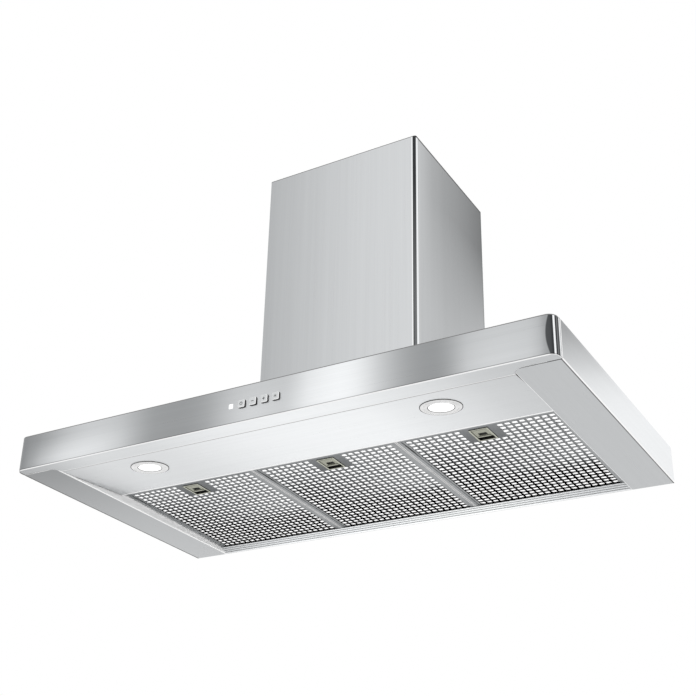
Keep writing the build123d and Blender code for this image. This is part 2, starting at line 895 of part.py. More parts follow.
def make_blower_scroll():
    """The scroll-shaped fan casing with an air inlet in each side and its outlet on top."""
    half = scroll_half_width
    with BuildPart() as scroll:
        with BuildSketch(Plane.YZ.offset(-half - scroll_wall)):
            add(scroll_outline(scroll_wall))
        extrude(amount=2 * (half + scroll_wall))
        with BuildSketch(Plane.YZ.offset(-half)):
            add(scroll_outline(0))
        extrude(amount=2 * half, mode=Mode.SUBTRACT)
        with BuildSketch(Plane.YZ):
            with Locations((fan_y, fan_z)):
                Circle(inlet_radius)
        extrude(amount=half + scroll_wall, both=True, mode=Mode.SUBTRACT)
    save(scroll, "blower_scroll")


def make_impeller():
    """The twin drum wheel: a middle disc on a hub, curved-in blades and two end rings."""
    blade_depth = wheel_radius - wheel_inner_radius
    with BuildPart() as impeller:
        with BuildSketch(Plane.YZ.offset(-wheel_ring / 2)):
            with Locations((fan_y, fan_z)):
                Circle(wheel_radius)
        extrude(amount=wheel_ring)
        with BuildSketch(Plane.YZ.offset(-wheel_ring)):
            with Locations((fan_y, fan_z)):
                Circle(hub_radius)
        extrude(amount=hub_length)
        with BuildSketch(Plane.YZ.offset(-wheel_half_width)):
            with Locations((fan_y, fan_z)):
                with PolarLocations((wheel_radius + wheel_inner_radius) / 2, blade_count):
                    Rectangle(blade_depth - 1, blade_thickness, rotation=blade_angle)
        extrude(amount=2 * wheel_half_width)
        for start in (-wheel_half_width - wheel_ring, wheel_half_width):
            with BuildSketch(Plane.YZ.offset(start)):
                with Locations((fan_y, fan_z)):
                    Circle(wheel_radius)
                    Circle(wheel_inner_radius, mode=Mode.SUBTRACT)
            extrude(amount=wheel_ring)
        with BuildSketch(Plane.YZ.offset(-wheel_half_width)):
            with Locations((fan_y, fan_z)):
                Circle(shaft_radius)
        extrude(amount=2 * wheel_half_width, mode=Mode.SUBTRACT)
    save(impeller, "impeller")


def make_motor():
    """The motor case inside the left half of the wheel, bored for its shaft."""
    with BuildPart() as motor:
        with BuildSketch(Plane.YZ.offset(motor_start)):
            with Locations((fan_y, fan_z)):
                Circle(motor_radius)
        extrude(amount=motor_length)
        fillet(edges().filter_by(GeomType.CIRCLE), motor_end_wall / 2)
        with BuildSketch(Plane.YZ.offset(motor_start + motor_end_wall)):
            with Locations((fan_y, fan_z)):
                Circle(shaft_radius + shaft_play)
        extrude(amount=motor_length, mode=Mode.SUBTRACT)
    save(motor, "motor")

    with BuildPart() as shaft:
        with BuildSketch(Plane.YZ.offset(shaft_start)):
            with Locations((fan_y, fan_z)):
                Circle(shaft_radius)
        extrude(amount=shaft_length)
    save(shaft, "motor_shaft")


def make_motor_bracket():
    """The three-armed spider that holds the motor in the left air inlet."""
    outer = -(scroll_half_width + scroll_wall)
    arm_middle = (inlet_radius + motor_radius) / 2 + 1
    arm_length = inlet_radius - motor_radius + 6
    with BuildPart() as spider:
        with BuildSketch(Plane.YZ.offset(outer - spider_thickness)):
            with Locations((fan_y, fan_z)):
                Circle(inlet_radius + spider_rim)
                Circle(inlet_radius, mode=Mode.SUBTRACT)
                with PolarLocations(arm_middle, spider_arms, start_angle=30):
                    Rectangle(arm_length, spider_rim)
                Circle(motor_radius + spider_hub_rim)
                Circle(motor_radius + shaft_play, mode=Mode.SUBTRACT)
        extrude(amount=spider_thickness)
    save(spider, "motor_bracket")


def make_duct_collar():
    """The round outlet that the duct slides over, with a rod across it for the flaps."""
    with BuildPart() as collar:
        with BuildSketch(Plane.XY.offset(box_top)):
            with Locations((0, duct_y)):
                Circle(collar_flange_radius)
        extrude(amount=collar_flange)
        with BuildSketch(Plane.XY.offset(box_top)):
            with Locations((0, duct_y)):
                Circle(collar_radius)
        extrude(amount=collar_height)
        with BuildSketch(Plane.XY.offset(box_top)):
            with Locations((0, duct_y)):
                Circle(collar_radius - collar_wall)
        extrude(amount=collar_height, mode=Mode.SUBTRACT)
        with BuildSketch(Plane.XY.offset(box_top)):
            with Locations((0, duct_y)):
                with PolarLocations(collar_screw_circle, 4, start_angle=45):
                    Circle(screw_radius)
        extrude(amount=collar_flange, mode=Mode.SUBTRACT)
    save(collar, "duct_collar")

    with BuildPart() as rod:
        half_rod = collar_radius - collar_wall - 0.1
        with BuildSketch(Plane.YZ.offset(-half_rod)):
            with Locations((duct_y, box_top + flap_height)):
                Circle(rod_radius)
        extrude(amount=2 * half_rod)
    save(rod, "flap_rod")


def make_flap(side, knuckle_places, name):
    """Half of the check valve: a half disc with two knuckles around the rod."""
    level = box_top + flap_height
    edge = knuckle_radius + flap_gap
    root = edge - rod_radius
    with BuildPart() as flap:
        with BuildSketch(Plane.XY.offset(level - flap_thickness / 2)):
            with Locations((0, duct_y)):
                Circle(flap_radius)
            with Locations((0, duct_y + edge * side - flap_radius * side)):
                Rectangle(2 * flap_radius, 2 * flap_radius, mode=Mode.SUBTRACT)
            for x in knuckle_places:
                with Locations((x, duct_y + side * (edge + rod_radius + flap_gap) / 2)):
                    Rectangle(knuckle_length, root)
        extrude(amount=flap_thickness)
        for x in knuckle_places:
            with BuildSketch(Plane.YZ.offset(x - knuckle_length / 2)):
                with Locations((duct_y, level)):
                    Circle(knuckle_radius)
            extrude(amount=knuckle_length)
            with BuildSketch(Plane.YZ.offset(x - knuckle_length / 2)):
                with Locations((duct_y, level)):
                    Circle(rod_radius + shaft_play)
            extrude(amount=knuckle_length, mode=Mode.SUBTRACT)
    save(flap, name)


def make_screws(name, plane, places, depth):
    """Identical pan-head screws as one group: heads on the plane, shanks below it."""
    with BuildPart() as screws:
        with BuildSketch(plane):
            with Locations(*places):
                Circle(screw_head_radius)
        extrude(amount=screw_head)
        with BuildSketch(plane):
            with Locations(*places):
                Circle(screw_radius - screw_play)
        extrude(amount=-depth)
    save(screws, name)


def make_fasteners():
    """The screws of the blower box's flange and those of the duct collar."""
    spacing_x, spacing_y = flange_screw_spacing()
    middle = from_front((box_front + box_rear) / 2)
    flange_places = []
    for sx in (-0.5, 0.5):
        for sy in (-0.5, 0.5):
            flange_places.append((sx * spacing_x, middle + sy * spacing_y))
    flange_plane = Plane.XY.offset(canopy_height + sheet)
    make_screws("box_screws", flange_plane, flange_places, box_screw_length)
    reach = collar_screw_circle * math.sqrt(0.5)
    collar_places = []
    for sx in (-1, 1):
        for sy in (-1, 1):
            collar_places.append((sx * reach, duct_y + sy * reach))
    collar_plane = Plane.XY.offset(box_top + collar_flange)
    make_screws("collar_screws", collar_plane, collar_places, collar_screw_length)


# ---------------------------------------------------------------- the whole hood

make_front_panel()
make_side_panel(-1, "left_side_panel")
make_side_panel(1, "right_side_panel")
make_rear_panel()
make_hanger_plates()
make_top_cover()
make_light_panel()
make_rear_rail()

make_lamp(-1, "left")
make_lamp(1, "right")
for number in range(1, 5):
    make_button(number)
make_indicator()
make_control_board()
make_control_housing()
make_hanging_box("terminal_box", terminal_middle, terminal_size)
make_hanging_box("lamp_driver", driver_middle, driver_size)
make_capacitor()

for number, filter_name in enumerate(filter_names):
    place = filter_plane(number)
    make_filter_frame(place, filter_name)
    make_filter_sheet(place, filter_name)
    make_filter_mesh(place, filter_name)
    make_filter_back(place, filter_name)
    make_latch(place, filter_name)

make_lower_chimney()
make_upper_chimney()
make_chimney_bracket()

make_blower_box()
make_cable_gland()
make_blower_scroll()
make_impeller()
make_motor()
make_motor_bracket()
make_duct_collar()
make_flap(1, (-30, 46), "rear_flap")
make_flap(-1, (-46, 30), "front_flap")
make_fasteners()
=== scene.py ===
"""Looks of a wall-mounted range hood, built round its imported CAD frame. Metres throughout."""
import json
import math

import bmesh
import bpy
from mathutils import Euler, Matrix, Vector


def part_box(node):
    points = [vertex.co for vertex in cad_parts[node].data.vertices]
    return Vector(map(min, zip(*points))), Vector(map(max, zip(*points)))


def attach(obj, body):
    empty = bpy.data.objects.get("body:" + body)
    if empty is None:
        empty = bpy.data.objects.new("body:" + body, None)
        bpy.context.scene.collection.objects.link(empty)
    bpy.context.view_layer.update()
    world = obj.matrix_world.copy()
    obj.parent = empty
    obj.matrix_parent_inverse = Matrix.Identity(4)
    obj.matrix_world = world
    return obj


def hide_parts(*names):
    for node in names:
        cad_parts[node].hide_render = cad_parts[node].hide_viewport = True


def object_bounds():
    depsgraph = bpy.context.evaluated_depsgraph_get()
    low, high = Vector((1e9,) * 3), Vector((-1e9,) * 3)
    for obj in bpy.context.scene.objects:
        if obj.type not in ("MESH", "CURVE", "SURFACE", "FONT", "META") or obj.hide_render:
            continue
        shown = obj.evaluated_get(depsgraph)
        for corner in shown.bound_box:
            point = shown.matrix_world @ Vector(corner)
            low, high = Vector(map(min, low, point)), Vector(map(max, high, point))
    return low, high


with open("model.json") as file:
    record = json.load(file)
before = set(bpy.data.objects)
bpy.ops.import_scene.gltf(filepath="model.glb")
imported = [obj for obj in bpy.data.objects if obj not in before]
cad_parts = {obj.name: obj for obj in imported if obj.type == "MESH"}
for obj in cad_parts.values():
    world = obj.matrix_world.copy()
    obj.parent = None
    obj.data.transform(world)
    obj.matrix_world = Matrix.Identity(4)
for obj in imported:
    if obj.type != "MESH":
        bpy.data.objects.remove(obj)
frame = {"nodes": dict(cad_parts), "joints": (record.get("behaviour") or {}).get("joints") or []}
cad_low, cad_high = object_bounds()

MM = 0.001
FILTERS = ("left", "centre", "right")
SIDES = ("left", "right")
BUTTONS = range(1, 5)
RAIL_SHEET = 1.0 * MM
RAIL_STEPS = 3
SHEET_MARGIN_MM = 11.2
FLOOR_DROP = 1.5
FLOOR_HALF = 4.0

# Places that the frame gives
face_low, face_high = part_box("front_panel")
side_low, side_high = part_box("right_side_panel")
light_low, light_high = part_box("light_panel")
chimney_low, chimney_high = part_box("lower_chimney")
light_rear_z = 10 * MM
front_y = face_low.y
wall_y = cad_high.y
half_width = side_high.x
canopy_top = face_high.z
inner_x = side_low.x
filter_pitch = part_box("filter_frame_centre")[0].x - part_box("filter_frame_left")[0].x
sheet_thickness = 0.8 * MM
grid_low, grid_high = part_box("filter_sheet_centre")
filter_slope = (grid_high.z - grid_low.z - sheet_thickness) / (grid_high.y - grid_low.y)


def joint_place(name):
    """Where a joint of the frame is, at rest."""
    for joint in frame["joints"]:
        if joint["name"] == name:
            return Vector(joint["pos_m"])
    raise KeyError(name)


def link(item):
    bpy.context.scene.collection.objects.link(item)
    return item


# ---------------------------------------------------------------- camera, world, lights, floor

def make_camera():
    """Looks up at the hood from below, in front and to the right."""
    data = bpy.data.cameras.new("camera")
    data.sensor_width = 36
    data.lens = 63.70
    data.shift_x = 0.0747
    data.shift_y = 0.0057
    data.clip_start = 0.05
    data.clip_end = 50
    camera = link(bpy.data.objects.new("camera", data))
    camera.location = (0.9068, -1.5477, -0.6991)
    turn = (math.radians(117.046), math.radians(-2.213), math.radians(31.665))
    camera.rotation_euler = Euler(turn, "XYZ")
    bpy.context.scene.camera = camera


def make_world():
    """A plain white studio, equally bright all round."""
    world = bpy.data.worlds.new("studio")
    world.use_nodes = True
    background = world.node_tree.nodes["Background"]
    background.inputs["Color"].default_value = (1, 1, 1, 1)
    background.inputs["Strength"].default_value = 1.0
    bpy.context.scene.world = world
    bpy.context.scene.view_settings.view_transform = "Standard"


def area_light(name, place, target, size, power):
    """One soft square light at a place, turned to a target."""
    data = bpy.data.lights.new(name, "AREA")
    data.size = size
    data.energy = power
    light = link(bpy.data.objects.new(name, data))
    light.location = place
    light.rotation_euler = (Vector(target) - Vector(place)).to_track_quat("-Z", "Y").to_euler()
    return light


def make_floor():
    """A plain pale floor, far below the hood as a room's floor is."""
    level = cad_low.z - FLOOR_DROP
    signs = ((-1, -1), (1, -1), (1, 1), (-1, 1))
    corners = [(x * FLOOR_HALF, y * FLOOR_HALF, level) for x, y in signs]
    mesh = bpy.data.meshes.new("floor")
    mesh.from_pydata(corners, [], [(0, 1, 2, 3)])
    floor = link(bpy.data.objects.new("floor", mesh))
    paint = Shader("floor_paint")
    speckle = paint.noise((3, 3, 3), detail=3)
    paint.colour(paint.ramp(speckle, [(0, 246), (1, 252)]))
    paint.value("Roughness", 0.8)
    mesh.materials.append(paint.material)


# ---------------------------------------------------------------- shader helpers

# Waves per metre of a brushed metal's scratches and streaks, by the way that they run
SCRATCHES = {"x": (4, 700, 700), "y": (700, 4, 700), "z": (700, 700, 4)}
STREAKS = {"x": (1.5, 120, 120), "y": (120, 1.5, 120), "z": (120, 120, 1.5)}
# The roughness that a satin face adds to a brushed one
SATIN = 0.6


def grey(tone):
    """A display tone from 0 to 255 as a linear grey."""
    level = tone / 255
    if level <= 0.04045:
        return level / 12.92
    return ((level + 0.055) / 1.055) ** 2.4


def tint(tone):
    """A tone, or three tones for red, green and blue, as a linear colour."""
    parts = tone if isinstance(tone, tuple) else (tone, tone, tone)
    return tuple(grey(t) for t in parts) + (1.0,)


def cool(stops):
    """The same stops with the faint blue-grey cast of steel under studio light."""
    return [(place, (max(tone - 2, 0), tone, min(tone + 1.5, 255))) for place, tone in stops]


class Shader:
    """A node material with a Principled shader, and short calls for its usual nodes."""

    def __init__(self, name, metallic=0.0):
        self.material = bpy.data.materials.new(name)
        self.material.use_nodes = True
        self.tree = self.material.node_tree
        self.surface = self.tree.nodes["Principled BSDF"]
        self.value("Metallic", metallic)
        self.place = self.tree.nodes.new("ShaderNodeTexCoord").outputs["Object"]
        split = self.tree.nodes.new("ShaderNodeSeparateXYZ")
        self.tree.links.new(self.place, split.inputs[0])
        self.x, self.y, self.z = split.outputs

    def value(self, socket, number):
        self.surface.inputs[socket].default_value = number

    def feed(self, socket, source):
        self.tree.links.new(source, self.surface.inputs[socket])

    def colour(self, source):
        self.feed("Base Color", source)

    def math(self, operation, first, second=0.0, third=0.0):
        node = self.tree.nodes.new("ShaderNodeMath")
        node.operation = operation
        for socket, item in zip(node.inputs, (first, second, third)):
            if isinstance(item, (int, float)):
                socket.default_value = item
            else:
                self.tree.links.new(item, socket)
        return node.outputs[0]

    def span(self, source, start, end):
        """0 at start and 1 at end of a coordinate, held beyond them."""
        node = self.tree.nodes.new("ShaderNodeMapRange")
        node.clamp = True
        self.tree.links.new(source, node.inputs["Value"])
        node.inputs["From Min"].default_value = start
        node.inputs["From Max"].default_value = end
        return node.outputs["Result"]

    def ramp(self, source, stops, blend="EASE"):
        """A colour ramp of (position, tone) stops."""
        node = self.tree.nodes.new("ShaderNodeValToRGB")
        node.color_ramp.interpolation = blend
        elements = node.color_ramp.elements
        while len(elements) < len(stops):
            elements.new(0.5)
        for element, (position, tone) in zip(elements, stops):
            element.position = position
            element.color = tint(tone)
        self.tree.links.new(source, node.inputs["Fac"])
        return node.outputs["Color"]

    def bands(self, source, stops, blend="EASE"):
        """Tones at places in millimetres along a coordinate, blended between them."""
        start = stops[0][0]
        end = stops[-1][0]
        unit = [((place - start) / (end - start), tone) for place, tone in cool(stops)]
        return self.ramp(self.span(source, start * MM, end * MM), unit, blend)

    def between(self, source, start, end, soft=0.2):
        """1 between two places in millimetres along a coordinate, with soft edges."""
        rise = self.span(source, (start - soft) * MM, (start + soft) * MM)
        fall = self.span(source, (end + soft) * MM, (end - soft) * MM)
        return self.math("MULTIPLY", rise, fall)

    def noise(self, scale, detail=2.0):
        """Noise with a frequency for each axis, in waves per metre."""
        mapping = self.tree.nodes.new("ShaderNodeMapping")
        mapping.inputs["Scale"].default_value = scale
        self.tree.links.new(self.place, mapping.inputs["Vector"])
        node = self.tree.nodes.new("ShaderNodeTexNoise")
        node.inputs["Scale"].default_value = 1.0
        node.inputs["Detail"].default_value = detail
        self.tree.links.new(mapping.outputs["Vector"], node.inputs["Vector"])
        return node.outputs["Fac"]

    def mix(self, factor, first, second, blend="MIX"):
        node = self.tree.nodes.new("ShaderNodeMix")
        node.data_type = "RGBA"
        node.blend_type = blend
        factor_input, first_input, second_input = (node.inputs[i] for i in (0, 6, 7))
        given = ((factor_input, factor), (first_input, first), (second_input, second))
        for socket, item in given:
            if isinstance(item, (int, float, tuple)):
                socket.default_value = item
            else:
                self.tree.links.new(item, socket)
        return node.outputs[2]

    def facing(self, axis, sign, start=0.6, end=0.8):
        """1 where the surface looks along one axis, and 0 where it turns away from it."""
        geometry = self.tree.nodes.new("ShaderNodeNewGeometry")
        split = self.tree.nodes.new("ShaderNodeSeparateXYZ")
        self.tree.links.new(geometry.outputs["Normal"], split.inputs[0])
        return self.span(self.math("MULTIPLY", split.outputs[axis], sign), start, end)

    def bump(self, height, distance):
        node = self.tree.nodes.new("ShaderNodeBump")
        node.inputs["Strength"].default_value = 1.0
        node.inputs["Distance"].default_value = distance
        self.tree.links.new(height, node.inputs["Height"])
        self.feed("Normal", node.outputs["Normal"])

    def rough(self, source, low, high, satin=None):
        """Roughness from low to high with a source, and rougher where a satin mask is 1."""
        node = self.tree.nodes.new("ShaderNodeMapRange")
        self.tree.links.new(source, node.inputs["Value"])
        node.inputs["To Min"].default_value = low
        node.inputs["To Max"].default_value = high
        level = node.outputs["Result"]
        if satin is not None:
            level = self.math("MULTIPLY_ADD", satin, SATIN, level)
        self.feed("Roughness", level)


def brush(shader, colour, along, depth=0.0025 * MM, satin=None):
    """Fine parallel scratches and broader streaks over a metal's own tone."""
    fine = shader.noise(SCRATCHES[along], detail=3)
    broad = shader.noise(STREAKS[along], detail=2)
    shade = shader.mix(1.0, colour, shader.ramp(fine, [(0.25, 251), (0.75, 255)]), "MULTIPLY")
    shade = shader.mix(1.0, shade, shader.ramp(broad, [(0.3, 253), (0.7, 255)]), "MULTIPLY")
    shader.colour(shade)
    shader.rough(fine, 0.24, 0.36, satin)
    shader.bump(fine, depth)


# ---------------------------------------------------------------- materials

# The light and dark bands on the steel are painted tones that are fixed to the surface. They stand
# in for reflections and don't move as reflections would. Their stops were typed in from
# tones sampled in the reference photograph at places on the hood, then adjusted until they matched.

def along_bend(shader, bend_x, bend_y):
    """The distance past the start of an upright bend: across the face, then along the side."""
    across = shader.math("SUBTRACT", shader.x, bend_x * MM)
    along = shader.math("SUBTRACT", shader.y, bend_y * MM)
    return shader.math("ADD", across, along)


def front_steel():
    """Brushed along its length, with painted bands in place of a studio's reflections."""
    shader = Shader("steel_front", metallic=1.0)
    height = canopy_top / MM
    middle = height / 2
    start = front_y / MM
    half = half_width / MM
    lower = shader.bands(shader.x, [
        (-449, 130), (-440, 142), (-425, 160), (-400, 190), (-360, 226), (-320, 231), (-280, 228),
        (-240, 210), (-205, 176), (-175, 158), (-120, 156), (-80, 167), (-45, 198), (-10, 218),
        (20, 214), (50, 208), (68, 220), (90, 240), (130, 251), (165, 249), (200, 210), (240, 166),
        (280, 151), (305, 166), (330, 209), (370, 216), (412, 210), (428, 196), (437, 160),
    ], "B_SPLINE")
    upper = shader.bands(shader.x, [
        (-449, 124), (-440, 140), (-420, 152), (-400, 158), (-360, 190), (-320, 207), (-280, 208),
        (-240, 199), (-205, 174), (-175, 158), (-120, 156), (-80, 168), (-45, 196), (-10, 206),
        (20, 205), (50, 202), (68, 212), (90, 234), (130, 249), (165, 247), (200, 208), (240, 165),
        (280, 151), (305, 168), (330, 200), (370, 206), (412, 203), (428, 192), (437, 156),
    ], "B_SPLINE")
    face = shader.mix(shader.span(shader.z, 12 * MM, 45 * MM), lower, upper)
    # Painted reflection: a dark band at the left end of the face.
    face = shader.mix(shader.between(shader.x, -half - 1, -half + 6.5), face, tint(92))
    # Painted reflection: dark and bright lines round the rounded right-hand corner, shaped like a
    # lens that is widest at mid height.
    around = along_bend(shader, half - 13, start)
    bend = shader.bands(around, [
        (-2, 96), (0, 84), (7, 80), (11, 58), (12.2, 54), (13.2, 250), (16.2, 250), (17, 54),
        (19.6, 64), (20.4, 128), (21.4, 128), (22.2, 52), (26.2, 66), (27.2, 250), (30.5, 250),
    ], "LINEAR")
    rise = shader.math("SUBTRACT", shader.z, middle * MM)
    off_middle = shader.math("MULTIPLY", rise, 1 / (middle * MM))
    bow = shader.math("MULTIPLY", shader.math("MULTIPLY", off_middle, off_middle), 6 * MM)
    bowed = shader.math("SUBTRACT", around, bow)
    face = shader.mix(shader.span(bowed, -1 * MM, 0.6 * MM), face, bend)
    # Painted shade: a faint dark line just above the bottom fold.
    shadow = shader.mix(shader.between(shader.z, 0.9, 2.3), (1, 1, 1, 1), tint(196))
    face = shader.mix(1.0, face, shadow, "MULTIPLY")
    # Painted highlight along the bottom fold, and a painted dark line along the top fold.
    face = shader.mix(shader.between(shader.z, -2, 1.0), face, tint(255))
    face = shader.mix(shader.between(shader.z, height - 1.9, height + 2), face, tint(128))
    # The underside: painted reflection tones, painted highlights along its front fold and at the
    # light panel's edge, a painted shade line behind that, and a painted dark band at its left end.
    under = underside_reflection_bands(shader)
    under = shader.mix(shader.between(shader.y, start - 2, start + 1.5), under, tint(255))
    under = shader.mix(shader.between(shader.y, start + 32.2, start + 33.2), under, tint(255))
    under = shader.mix(shader.between(shader.y, start + 33.2, start + 36), under, tint(196))
    under = shader.mix(shader.between(shader.x, -half - 1, -half + 4.5), under, tint(96))
    colour = shader.mix(shader.facing(2, -1), face, under)
    brush(shader, colour, "x")
    return shader.material


def underside_reflection_bands(shader):
    """The painted reflection tones of the sheets that look down at the hob, from left to right."""
    return shader.bands(shader.x, [
        (-449, 170), (-390, 188), (-350, 208), (-310, 222), (-270, 224), (-200, 222), (-130, 234),
        (-50, 246), (60, 252), (150, 250), (190, 242), (240, 232), (290, 224), (330, 212),
        (390, 204), (449, 198),
    ], "B_SPLINE")


def panel_steel():
    """The light panel: painted reflection tones, its rear edge a fold with a painted highlight, a
    painted shade line at its front edge, and painted dark lines at its cut ends.
    """
    shader = Shader("steel_light_panel", metallic=1.0)
    rear = light_high.y / MM
    half = inner_x / MM
    front = light_low.y / MM
    fold = shader.between(shader.y, rear - 3.6, rear + 2)
    colour = shader.mix(fold, underside_reflection_bands(shader), tint(255))
    colour = shader.mix(shader.between(shader.y, front - 1, front + 0.7), colour, tint(190))
    across = shader.math("ABSOLUTE", shader.x)
    colour = shader.mix(shader.between(across, half - 1.2, half + 1), colour, tint(112))
    brush(shader, colour, "x")
    return shader.material


def rail_steel():
    """The stepped rail: painted reflections make its treads and risers bright, brightest near the
    middle, with a painted shadow line in each inner corner.
    """
    shader = Shader("steel_rear_rail", metallic=0.4)
    treads = shader.bands(shader.x, [
        (-382, 204), (-330, 228), (-250, 242), (-60, 252), (60, 255), (150, 255), (260, 243),
        (382, 216),
    ], "B_SPLINE")
    hinge = joint_place("filter_centre_swing")
    step_height = (hinge.z - RAIL_SHEET) / RAIL_STEPS
    from_top = shader.math("SUBTRACT", hinge.z - RAIL_SHEET, shader.z)
    step = shader.math("FRACT", shader.math("DIVIDE", from_top, step_height))
    shadow = shader.math("MULTIPLY", shader.span(step, 0.6, 0.5), shader.facing(1, -1))
    colour = shader.mix(shadow, treads, tint(146))
    brush(shader, colour, "x", 0.0008 * MM)
    return shader.material


def side_steel(side):
    """A side panel: painted reflection tones on its broad bottom strip and on its outer wall, with
    painted highlight and shade lines along its folds, seam and edges.
    """
    shader = Shader(f"steel_side_{side}", metallic=1.0)
    depth = (wall_y - front_y) / MM
    start = front_y / MM
    # The tones below are painted reflections and painted shade, set apart for each side as each is
    # lit: the strip's gradient, the seam line's tone (bright on the left, dark on the right), the
    # outer edge's dark line, and the widths of that line and of the fold's highlight.
    if side == "left":
        strip = [(start, 139), (start + 90, 154), (start + 260, 184), (start + depth, 193)]
        seam = 214
        edge = 70
        edge_width = 3.6
        bright = 2.3
    else:
        strip = [(start, 198), (start + 200, 197), (start + depth, 193)]
        seam = 76
        edge = 108
        edge_width = 1.9
        bright = 1.4
    # Painted reflection: the outer wall grades from dark at the front to bright at the rear, on a
    # slant.
    wall = [
        (start - 60, 144), (start - 14, 168), (start + 25, 188), (start + 65, 202),
        (start + 105, 222), (start + 145, 231), (start + 190, 239), (start + 270, 243),
        (start + depth, 242),
    ]
    across = shader.math("ABSOLUTE", shader.x)
    outer = half_width / MM
    inner = inner_x / MM
    slanted = shader.math("SUBTRACT", shader.y, shader.math("MULTIPLY", shader.z, 2.3))
    wall_tone = shader.bands(shader.math("ADD", slanted, 30 * MM), wall, "B_SPLINE")
    # Painted highlight along the wall's bottom fold, then a painted shadow line and a painted
    # highlight line where the wall meets the front panel's return.
    wall_tone = shader.mix(shader.between(shader.z, -1, 3), wall_tone, tint(255))
    contact_shadow_line = shader.between(shader.y, start + 16, start + 18.8)
    wall_tone = shader.mix(contact_shadow_line, wall_tone, tint(92))
    highlight_line = shader.between(shader.y, start + 18.8, start + 21.6)
    wall_tone = shader.mix(highlight_line, wall_tone, tint(250))
    # The upright wall facing the filters is painted white, standing in for the light on it, and
    # made satin.
    inward = shader.math("LESS_THAN", across, half_width - 20 * MM)
    wall_tone = shader.mix(inward, wall_tone, tint(255))
    # Painted reflection tones along the strip, with a painted dark line at its outer edge, a
    # painted highlight along its fold and a painted line at its seam.
    strip_tone = shader.bands(shader.y, strip, "B_SPLINE")
    outside = shader.between(across, outer - edge_width, outer + 1)
    strip_tone = shader.mix(outside, strip_tone, tint(edge))
    fold = shader.between(across, inner - 1, inner + bright)
    strip_tone = shader.mix(fold, strip_tone, tint(255))
    seam_line = shader.between(shader.y, start + 17, start + 19.6)
    strip_tone = shader.mix(seam_line, strip_tone, tint(seam))
    down = shader.facing(2, -1)
    satin = shader.math("MULTIPLY", inward, shader.math("SUBTRACT", 1.0, down))
    brush(shader, shader.mix(down, wall_tone, strip_tone), "y", satin=satin)
    return shader.material


def chimney_steel(name):
    """Brushed upright, with painted reflection grading across the front, painted shade grading to
    the rear on the sides, and painted highlight and shade lines at its bend and top.
    """
    shader = Shader(name, metallic=1.0)
    start = chimney_low.y / MM
    half = chimney_high.x / MM
    depth = (wall_y - chimney_low.y) / MM
    # Painted reflection: the front grades from a dark line at its left edge to brighter on the
    # right.
    front = shader.bands(shader.x, [
        (-half, 150), (-half + 1.2, 184), (-110, 190), (-60, 198), (-10, 205), (50, 211),
        (100, 214), (half, 216),
    ], "EASE")
    # Painted shade: the sides darken towards the wall, most near the top.
    side_top = shader.bands(shader.y, [
        (start, 200), (start + 14, 190), (start + 60, 166), (start + 110, 150), (start + 160, 138),
        (start + 210, 122), (start + depth - 4, 98), (start + depth, 60),
    ], "LINEAR")
    side_bottom = shader.bands(shader.y, [
        (start, 196), (start + 14, 190), (start + 60, 186), (start + 110, 180), (start + 160, 180),
        (start + 210, 186), (start + depth - 4, 196), (start + depth, 120),
    ], "LINEAR")
    height = shader.span(shader.z, 0.26, 0.50)
    side = shader.mix(height, side_bottom, side_top)
    sideways = shader.math("MAXIMUM", shader.facing(0, 1), shader.facing(0, -1))
    colour = shader.mix(sideways, front, side)
    # Painted reflection: bright and dark lines round the front corner's bend.
    around = along_bend(shader, half - 4, start)
    bend_top = shader.bands(around, [
        (-4.4, 214), (-3.8, 252), (-2.4, 252), (-1.7, 56), (4.8, 62), (5.8, 240), (11, 252),
        (12, 172), (13.4, 176), (14.6, 204), (18, 192),
    ], "LINEAR")
    bend_bottom = shader.bands(around, [
        (-4.4, 214), (-3.8, 255), (-2.4, 255), (-1.9, 44), (-0.9, 48), (-0.2, 116), (4.8, 112),
        (5.8, 240), (11, 250), (12, 184), (13.4, 186), (14.6, 206), (18, 192),
    ], "LINEAR")
    bend = shader.mix(height, bend_bottom, bend_top)
    colour = shader.mix(shader.between(around, -4.2, 16, 0.4), colour, bend)
    # Painted shade: a dark line along the top edge, darker on the sides.
    top = chimney_high.z / MM
    colour = shader.mix(shader.between(shader.z, top - 1.3, top + 1), colour, tint(120))
    rim = shader.math("MULTIPLY", shader.between(shader.z, top - 3.4, top + 1), sideways)
    colour = shader.mix(rim, colour, tint(64))
    brush(shader, colour, "z")
    return shader.material


def galvanised(name, tone):
    """Zinc-coated sheet: angular spangles of slightly different greys."""
    shader = Shader(name, metallic=1.0)
    cells = shader.tree.nodes.new("ShaderNodeTexVoronoi")
    cells.inputs["Scale"].default_value = 210
    shader.tree.links.new(shader.place, cells.inputs["Vector"])
    level = shader.tree.nodes.new("ShaderNodeSeparateColor")
    shader.tree.links.new(cells.outputs["Color"], level.inputs[0])
    spangle = shader.ramp(level.outputs[0], [(0, tone - 7), (1, tone + 8)])
    cloud = shader.ramp(shader.noise((14, 14, 14), detail=4), [(0.3, 240), (0.7, 255)])
    shader.colour(shader.mix(1.0, spangle, cloud, "MULTIPLY"))
    shader.rough(level.outputs[1], 0.32, 0.52)
    shader.bump(level.outputs[2], 0.02 * MM)
    return shader.material


def plastic(name, tone, rough=0.45):
    """Moulded plastic with a fine spark-eroded grain."""
    shader = Shader(name)
    fine = shader.noise((2200, 2200, 2200), detail=2)
    cloud = shader.noise((30, 30, 30), detail=3)
    base = tint(tone)
    dark = tuple(c * 0.96 for c in base[:3]) + (1,)
    shader.colour(shader.mix(cloud, base, dark))
    shader.rough(fine, rough - 0.08, rough + 0.1)
    shader.bump(fine, 0.02 * MM)
    return shader.material


